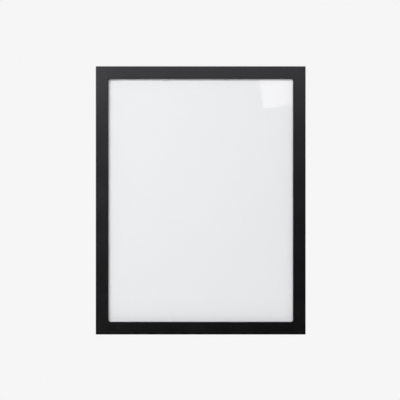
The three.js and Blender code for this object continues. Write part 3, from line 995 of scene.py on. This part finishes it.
def turned_shape():
    """Turns a profile, with its radius along X and its height along Z, and stands it along Y."""
    tree, given = started_shape("lathe", Sides="Int")
    profile = then(given["Geometry"], "GeometryNodeMeshToCurve")
    radius, _, height = parts(made(tree, "GeometryNodeInputPosition"))
    sized = then(profile, "GeometryNodeSetCurveRadius", {"Radius": radius})
    spine = then(sized, "GeometryNodeSetPosition", {"Position": vector(z=height)})
    circle = made(tree, "GeometryNodeCurvePrimitiveCircle", {"Resolution": given["Sides"], "Radius": 1.0})
    turned = then(spine, "GeometryNodeCurveToMesh", {
        "Profile Curve": circle, "Scale": made(tree, "GeometryNodeInputRadius"), "Fill Caps": True,
    })
    stood = then(turned, "GeometryNodeTransform", {"Rotation": (-QUARTER, 0, 0)})
    return ended_shape(stood, given["Material"])


def turned_profile(pairs):
    """A profile of radius and height, from the lowest point up."""
    points = []
    for radius, height in pairs:
        if points and height <= points[-1][2]:
            height = points[-1][2] + TURNING_STEP
        points.append((radius, 0, height))
    return drawn(points, closed=False)


def turned_arc(radius, height, size, start, end, steps):
    """An arc of a turned profile."""
    return [(x, y) for x, y, _ in arc(radius, height, size, start, end, steps)]


def seated_rim(radius, size):
    """The rounded lower rim of a head, after its flat seat at height 0."""
    return [(radius - size, 0), *turned_arc(radius - size, size, size, -QUARTER, 0, 4)[1:]]


def cross_recess():
    """Cuts a cross into a head: two wings that narrow towards its bottom."""
    tree, given = started_shape("cross_recess", Length="Float", Width="Float", Depth="Float", Top="Float")
    size = vector(given["Length"], times(given["Depth"], 2.0), given["Width"])
    box = then(size, "GeometryNodeMeshCube")
    x, y, z = parts(made(tree, "GeometryNodeInputPosition"))
    narrow = times(maths("DIVIDE", y, given["Depth"]), 0.32, 0.94)
    tapered = vector(times(x, narrow), y, times(z, narrow))
    wing = then(box, "GeometryNodeSetPosition", {"Position": tapered})
    crossing = then(wing, "GeometryNodeTransform", {"Rotation": (0, QUARTER, 0)})
    top = {"Translation": vector(y=given["Top"])}
    wings = [then(one, "GeometryNodeTransform", top) for one in (wing, crossing)]
    cut = then(
        given["Geometry"], "GeometryNodeMeshBoolean", {"Mesh 2": wings, "Self Intersection": True},
        operation="DIFFERENCE", solver="EXACT",
    )
    return ended_shape(cut, given["Material"])


def add_thread(bm):
    """A sharp helical ridge on the shank, below the plain neck."""
    turns = (SCREW_LENGTH - SCREW_TIP - THREAD_START) / THREAD_PITCH
    count = int(turns * THREAD_STEPS)
    rings = []
    for i in range(count + 1):
        angle = 2 * math.pi * i / THREAD_STEPS
        height = -THREAD_START - THREAD_PITCH * i / THREAD_STEPS
        fade = min(1.0, i / THREAD_STEPS, (count - i) / THREAD_STEPS)
        inner = SCREW_SHANK_RADIUS - THREAD_ROOT
        outer = SCREW_SHANK_RADIUS + THREAD_DEPTH * fade
        half = THREAD_ROOT + THREAD_SPREAD * fade
        ring = []
        for radius, lift in ((inner, half), (outer, 0), (inner, -half)):
            ring.append(bm.verts.new((radius * math.cos(angle), height + lift, radius * math.sin(angle))))
        rings.append(ring)
    ends = [bm.faces.new(rings[0]), bm.faces.new(rings[-1])]
    bmesh.ops.recalc_face_normals(bm, faces=ends + bridged(bm, rings, closed=True))


def threaded_screw():
    """One screw: the seat of its head is at Y = 0, and its point lies towards -Y."""
    dome = SCREW_HEAD_HEIGHT - SCREW_HEAD_RIM
    profile = [(SCREW_POINT, -SCREW_LENGTH), (SCREW_SHANK_RADIUS, SCREW_TIP - SCREW_LENGTH)]
    profile += [(SCREW_SHANK_RADIUS, 0), *seated_rim(SCREW_HEAD_RADIUS, RIM_ROUND)]
    for i in range(DOME_STEPS):
        angle = QUARTER * i / DOME_STEPS
        profile.append((SCREW_HEAD_RADIUS * math.cos(angle), SCREW_HEAD_RIM + dome * math.sin(angle)))
    profile.append((TURNED_CENTRE, SCREW_HEAD_HEIGHT))
    plain = grown("screw", turning_tree, turned_profile(profile), Sides=48)
    screw = grown(
        "cut_screw", cross_recess(), plain.data.copy(), Length=RECESS_LENGTH, Width=RECESS_WIDTH,
        Depth=RECESS_DEPTH, Top=SCREW_HEAD_HEIGHT,
    )
    dropped(plain)
    bm = bmesh.new()
    bm.from_mesh(screw.data)
    add_thread(bm)
    bm.to_mesh(screw.data)
    bm.free()
    return screw


def places_of(names, height):
    """The middles of some CAD parts, each at one height from the wall."""
    places = [middle_of(name) for name in names]
    for place in places:
        place.y = height
    return places


turning_tree = turned_shape()
screw_names = ["button_screw_" + label for label in button_labels]
screw_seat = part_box("button_screw_top_left")[1].y - SCREW_HEAD_HEIGHT
screws = set_out(
    "button_screws", threaded_screw(), places_of(screw_names, screw_seat), Spin=math.pi / 4,
    Seed=11, Material=zinc("zinc_plated_screw", 0.26),
)
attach(screws, "frame")
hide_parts(*screw_names)


# Sawtooth hangers
# Brass-plated steel strips. Two flat ears lie on the wood, and the pressed middle stands off it.
# Its inward edge is cut to teeth, so that the frame can be hung level from one wall nail.
HANGER_SIDES = ("top", "left")
HANGER_THICKNESS = 0.0007
HANGER_EAR = 0.008
HANGER_RAMP = 0.003
HANGER_EDGE = 0.00010
TOOTH_PITCH = 0.002
TOOTH_DEPTH = 0.0011
TOOTH_ROUND = 0.00016  # half the blunt tip of each tooth and gullet
EAR_ROUND = 0.0010
EAR_ARC = (0.0, 0.4, 0.6, 0.8, 1.0)  # points along its quarter turn, the second clear of the soft edge
EAR_STEPS = (0.3, 0.5, 0.7, 1.0)  # shares of the ear at which its mesh has a line
RAMP_STEPS = 10
CLOSEST_STATIONS = 0.00004
HANGER_STOCK = 0.0014  # from the tips of the teeth to the next line of the mesh
HANGER_ROWS = 6
NAIL_HOLE = 0.0009
PUNCH_LENGTH = 0.02


def hanger_stations(half):
    """Places along the strip where its edge, its rise or its width changes, and how far teeth go."""
    middle = half - HANGER_EAR - HANGER_RAMP
    teeth = math.floor(2 * middle / TOOTH_PITCH + 1e-6)
    stations = [half - EAR_ROUND * (1 - math.cos(QUARTER * share)) for share in EAR_ARC]
    stations += [half - HANGER_EAR * share for share in EAR_STEPS]
    stations += [half - HANGER_EAR - HANGER_RAMP * i / RAMP_STEPS for i in range(1, RAMP_STEPS + 1)]
    stations = [*stations, *(-s for s in stations)]
    for i in range(2 * teeth + 1):
        station = (i - teeth) * TOOTH_PITCH / 2
        stations += [station - TOOTH_ROUND, station + TOOTH_ROUND]
    apart = []
    for station in sorted(stations):
        if not apart or station - apart[-1] > CLOSEST_STATIONS:
            apart.append(station)
    return apart, teeth * TOOTH_PITCH / 2


def tooth_cut(station, toothed):
    """How deep the teeth are cut at a station."""
    if abs(station) >= toothed:
        return 0.0
    phase = abs((station / TOOTH_PITCH + toothed / TOOTH_PITCH) % 1.0 - 0.5) * TOOTH_PITCH
    blunt = min(max(phase, TOOTH_ROUND), TOOTH_PITCH / 2 - TOOTH_ROUND)
    return TOOTH_DEPTH * (1 - (blunt - TOOTH_ROUND) / (TOOTH_PITCH / 2 - 2 * TOOTH_ROUND))


def hanger_mesh(name, length, width, low, rise):
    """A hanger along Z about the origin, with its teeth towards +X and its ears at Y = low."""
    half = length / 2
    stations, toothed = hanger_stations(half)
    bm = bmesh.new()
    top, bottom = [], []
    for s in stations:
        end = half - abs(s)
        corner = 0.0
        if end < EAR_ROUND:
            corner = EAR_ROUND - math.sqrt(max(EAR_ROUND ** 2 - (EAR_ROUND - end) ** 2, 0.0))
        share = min(max((end - HANGER_EAR) / HANGER_RAMP, 0.0), 1.0)
        lift = low + rise * share * share * (3 - 2 * share)
        inner = -width / 2 + corner
        root = width / 2 - HANGER_STOCK
        xs = [inner + (root - inner) * i / HANGER_ROWS for i in range(HANGER_ROWS + 1)]
        xs.append(width / 2 - max(tooth_cut(s, toothed), corner))
        bottom.append([bm.verts.new((x, lift, s)) for x in xs])
        top.append([bm.verts.new((x, lift + HANGER_THICKNESS, s)) for x in xs])
    return two_sided(bm, bottom, top, name)


hanger_brass = plated(
    "brass_plated_strip", bright=(0.79, 0.60, 0.30), dull=(0.71, 0.52, 0.24), roughness=0.28,
    mottle_scale=160.0, line_scale=2600.0,
)
for side in HANGER_SIDES:
    hanger_low, hanger_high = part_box("sawtooth_hanger_" + side)
    size = hanger_high - hanger_low
    width, length = sorted((size.x, size.z))
    mesh = hanger_mesh(
        "brass_hanger_" + side, length, width, hanger_low.y,
        hanger_high.y - hanger_low.y - HANGER_THICKNESS,
    )
    mesh.transform(turned_to(side, "sawtooth_hanger_" + side))
    mesh.materials.append(hanger_brass)
    hanger = placed("brass_hanger_" + side, mesh)
    bm = bmesh.new()
    for end in SIDE_ENDS[side]:
        hole = middle_of("hanger_nail_" + side + "_" + end)
        pin(bm, (hole.x, hanger_low.y, hole.z), NAIL_HOLE, PUNCH_LENGTH, sides=32)
    punches = placed("punches", kept(bm, "punches"))
    punched = hanger.modifiers.new("nail holes", "BOOLEAN")
    punched.object = punches
    punched.operation = "DIFFERENCE"
    punched.solver = "EXACT"
    settled(hanger)
    dropped(punches)
    soften(hanger, HANGER_EDGE, segments=2, angle=math.radians(50))
    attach(hanger, "frame")
    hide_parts("sawtooth_hanger_" + side)


# Hanger nails
# Short brass-plated nails with flat, slightly domed heads, two through the ears of each hanger.
# Driven by hand, none of them stands quite straight.
NAIL_HEAD_RADIUS = 0.0017
NAIL_HEAD_THICKNESS = 0.0006
NAIL_LENGTH = 0.010
NAIL_TIP = 0.0012
NAIL_POINT = 0.00004
NAIL_EDGE = 0.00012
NAIL_RIM_DROP = 0.00018  # from the crown down to the rim
NAIL_CROWN = ((0.0009, 0.00008), (0.0004, 0.00001), (TURNED_CENTRE, 0.0))  # radii, and depths below it
NAIL_LEAN = math.radians(1.0)

nail_profile = [(NAIL_POINT, -NAIL_LENGTH), (NAIL_SHANK_RADIUS, NAIL_TIP - NAIL_LENGTH)]
nail_profile += [(NAIL_SHANK_RADIUS, 0), *seated_rim(NAIL_HEAD_RADIUS, NAIL_EDGE)]
nail_rim = NAIL_HEAD_THICKNESS - NAIL_RIM_DROP - NAIL_EDGE
nail_profile += turned_arc(NAIL_HEAD_RADIUS - NAIL_EDGE, nail_rim, NAIL_EDGE, 0, QUARTER * 0.8, 4)
nail_profile += [(radius, NAIL_HEAD_THICKNESS - drop) for radius, drop in NAIL_CROWN]
nail_names = ["hanger_nail_" + side + "_" + end for side in HANGER_SIDES for end in SIDE_ENDS[side]]
nail_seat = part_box("hanger_nail_top_left")[1].y - NAIL_HEAD_THICKNESS
nail_brass = plated(
    "brass_plated_nail", bright=(0.80, 0.61, 0.31), dull=(0.62, 0.44, 0.19), roughness=0.28,
    mottle_scale=900.0, line_scale=3000.0,
)
nails = set_out(
    "hanger_nails", grown("nail", turning_tree, turned_profile(nail_profile), Sides=32),
    places_of(nail_names, nail_seat), Spin=math.pi, Lean=NAIL_LEAN, Seed=5, Material=nail_brass,
)
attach(nails, "frame")
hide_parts(*nail_names)


# Wall bumpers
# Moulded dark rubber buttons stuck near the corners of the back. They keep the frame off the wall
# and level with its hanger.
BUMPER_RADIUS = 0.004
BUMPER_TOP_RADIUS = 0.0029
BUMPER_ROUND = 0.0006
BUMPER_EASE = 0.0001  # on the edge that is stuck down
BUMPER_FOOT = 0.00025
BUMPER_DRAFT = 0.00005  # what the foot loses in width over its height
BUMPER_CENTRE = 0.00003  # radius at which its top closes
BUMPER_RELIEF = 0.00002
BUMPER_DULL = 0.62
RUBBER_BLACK = (0.030, 0.030, 0.031)
DUSTY_BLACK = (0.052, 0.051, 0.050)

bumper_low, bumper_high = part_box("wall_bumper_top_left")
bumper_tall = bumper_high.y - bumper_low.y - 4 * TURNING_STEP  # with room for its least rises
bumper_profile = [(BUMPER_RADIUS - BUMPER_EASE, 0), (BUMPER_RADIUS, BUMPER_EASE)]
bumper_profile += [(BUMPER_RADIUS - BUMPER_DRAFT, BUMPER_FOOT)]
bumper_profile += turned_arc(
    BUMPER_TOP_RADIUS - BUMPER_ROUND, bumper_tall - BUMPER_ROUND, BUMPER_ROUND, 0, QUARTER, 8
)
bumper_profile += [(BUMPER_CENTRE, bumper_tall)]


def moulded_rubber():
    """Dark rubber with a fine moulded texture and some dust."""
    material, tree, shader = surface("bumper_rubber", IOR=1.52)
    place = object_place(tree)
    (dust,) = grouped(tree, marks_group, "Smudges", Place=place, Smudge_Scale=420.0)
    finish(
        shader, Base_Color=blended(dust, RUBBER_BLACK, DUSTY_BLACK),
        Roughness=times(dust, 0.12, BUMPER_DULL),
        Normal=raised(speckle(place, 5200.0, detail=1.0), BUMPER_RELIEF),
    )
    return material


bumper_names = ["wall_bumper_" + corner for corner in CORNERS]
bumpers = set_out(
    "rubber_bumpers", grown("bumper", turning_tree, turned_profile(bumper_profile), Sides=48),
    places_of(bumper_names, bumper_low.y), Spin=math.pi, Seed=7, Material=moulded_rubber(),
)
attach(bumpers, "frame")
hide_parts(*bumper_names)


# Camera
# It stands in front of the middle of the frame at its own height, as far off as the photograph's
# lack of perspective asks, and looks straight at it.
PHOTO_PIXELS = 400
FRAME_LEFT_PIXEL = 95.65
FRAME_RIGHT_PIXEL = 305.7
FRAME_TOP_PIXEL = 66.3
FRAME_BOTTOM_PIXEL = 334.5
CAMERA_DISTANCE = 2.0
SENSOR_WIDTH = 36.0

pixels_per_metre = (FRAME_RIGHT_PIXEL - FRAME_LEFT_PIXEL + FRAME_BOTTOM_PIXEL - FRAME_TOP_PIXEL) / (
    2 * (half_width + half_height)
)
frame_middle_x = (FRAME_LEFT_PIXEL + FRAME_RIGHT_PIXEL) / 2
frame_middle_y = (FRAME_TOP_PIXEL + FRAME_BOTTOM_PIXEL) / 2
camera_data = bpy.data.cameras.new("camera")
camera_data.sensor_width = SENSOR_WIDTH
camera_data.lens = SENSOR_WIDTH * CAMERA_DISTANCE * pixels_per_metre / PHOTO_PIXELS
camera = placed("camera", camera_data)
camera.location = (
    (PHOTO_PIXELS / 2 - frame_middle_x) / pixels_per_metre,
    front - CAMERA_DISTANCE,
    (frame_middle_y - PHOTO_PIXELS / 2) / pixels_per_metre,
)
camera.rotation_euler = (QUARTER, 0, 0)
bpy.context.scene.camera = camera


# Studio
# A pale room with a dark side behind the camera, a pale floor, and soft lamps in front and behind.
# The satin face mirrors cards on the left and above, and the glazing's corner mirrors a third one.
BACKDROP_WHITE = 0.9216
DARK_SIDE = 0.012
LOW_SHARE = 0.3  # of the backdrop's level, in what gloss sees below the horizon
ROOM_LEVEL = 0.22
CARD_WHITE = (1.0, 0.965, 1.03, 1)
CORNER_TILT = math.radians(6)
CORNER_SIZE = 0.55
FLOOR_HEIGHT = -0.45
FLOOR_RADIUS = 1.4
FLOOR_FADE = 0.6
FLOOR_LIFT = 0.36  # what the camera sees added to the floor, so that it is as pale as the backdrop
FLOOR_GREYS = ((0.84, 0.84, 0.84), (0.86, 0.86, 0.86))


def emitting(name, strength):
    """A card's glow."""
    material = bpy.data.materials.new(name)
    material.use_nodes = True
    tree = material.node_tree
    tree.nodes.remove(tree.nodes["Principled BSDF"])
    glow = made(tree, "ShaderNodeEmission", {"Color": CARD_WHITE, "Strength": strength})
    tree.links.new(glow, tree.nodes["Material Output"].inputs["Surface"])
    return material


def card(name, corner, width, height, strength, tilt=0.0, through=False):
    """A glowing card that only mirroring surfaces see. through lets the glazing's own paths see it."""
    corner = Vector(corner)
    along = Vector((width * math.cos(tilt), 0, width * math.sin(tilt)))
    up = Vector((-height * math.sin(tilt), 0, height * math.cos(tilt)))
    mesh = bpy.data.meshes.new(name)
    mesh.from_pydata([corner, corner + along, corner + along + up, corner + up], [], [(0, 1, 2, 3)])
    mesh.materials.append(emitting(name, strength))
    glowing = placed(name, mesh)
    glowing.visible_camera = False
    glowing.visible_diffuse = False
    glowing.visible_transmission = through
    glowing.visible_shadow = False


def soft_lamp(name, place, width, height, power):
    """A soft box aimed at the frame. It lights without being mirrored."""
    data = bpy.data.lights.new(name, "AREA")
    data.shape = "RECTANGLE"
    data.size = width
    data.size_y = height
    data.energy = power
    lamp = placed(name, data)
    lamp.location = place
    lamp.rotation_euler = (-Vector(place)).to_track_quat("-Z", "Y").to_euler()
    lamp.visible_camera = False
    lamp.visible_glossy = False
    lamp.visible_transmission = False


soft_lamp("front_soft_box", (-0.125, -2.6, 0.595), width=3.09, height=1.47, power=41.1)
soft_lamp("back_soft_box", (0.2, 2.6, 0.4), width=3.0, height=3.0, power=69.0)
soft_lamp("near_soft_box", (-0.388, -0.966, 0.463), width=0.3, height=0.3, power=3.93)
card("left_card", (-1.91, -0.80, -0.085), width=1.5, height=0.81, strength=6.0)
card("high_card", (-0.41, -0.80, 0.241), width=0.72, height=0.30, strength=2.1)
card(
    "corner_card", (0.164, camera.location.y, 0.241), width=CORNER_SIZE, height=CORNER_SIZE,
    strength=1.3, tilt=CORNER_TILT, through=True,
)

world = bpy.data.worlds.new("studio")
bpy.context.scene.world = world
world.use_nodes = True
tree = world.node_tree
_, y, z = parts(node(tree, "ShaderNodeTexCoord").outputs["Generated"])
mirrored = times(ramp(y, -0.05, 0.40, DARK_SIDE, BACKDROP_WHITE), ramp(z, -0.45, 0.30, LOW_SHARE, 1.0))
path = node(tree, "ShaderNodeLightPath").outputs
in_gloss = maths("MAXIMUM", path["Is Glossy Ray"], path["Is Transmission Ray"])
level = between(path["Is Camera Ray"], between(in_gloss, ROOM_LEVEL, mirrored), BACKDROP_WHITE)
finish(tree.nodes["Background"], Strength=level, Color=(1, 1, 1, 1))

# The floor fades into the backdrop at its rim, and mirroring surfaces see the room instead.
bm = bmesh.new()
bmesh.ops.create_circle(bm, cap_ends=True, segments=96, radius=FLOOR_RADIUS)
floor = placed("floor", kept(bm, "floor"))
floor.data.transform(Matrix.Translation((0, 0, FLOOR_HEIGHT)))
floor_paint, tree, shader = surface("pale_floor", Roughness=0.9, Emission_Color=(1, 1, 1, 1))
place = object_place(tree)
flat = then(place, "ShaderNodeVectorMath", {1: (1, 1, 0)}, operation="MULTIPLY")
reach = node(tree, "ShaderNodeVectorMath", {0: flat}, operation="LENGTH").outputs["Value"]
to_camera = node(tree, "ShaderNodeLightPath").outputs["Is Camera Ray"]
finish(
    shader, Base_Color=blended(speckle(place, 60.0, detail=3.0), *FLOOR_GREYS),
    Alpha=ramp(reach, FLOOR_FADE, FLOOR_RADIUS, 1.0, 0.0),
    Emission_Strength=times(to_camera, FLOOR_LIFT),
)
floor.data.materials.append(floor_paint)
floor.visible_glossy = False

bpy.context.scene.view_settings.view_transform = "Standard"
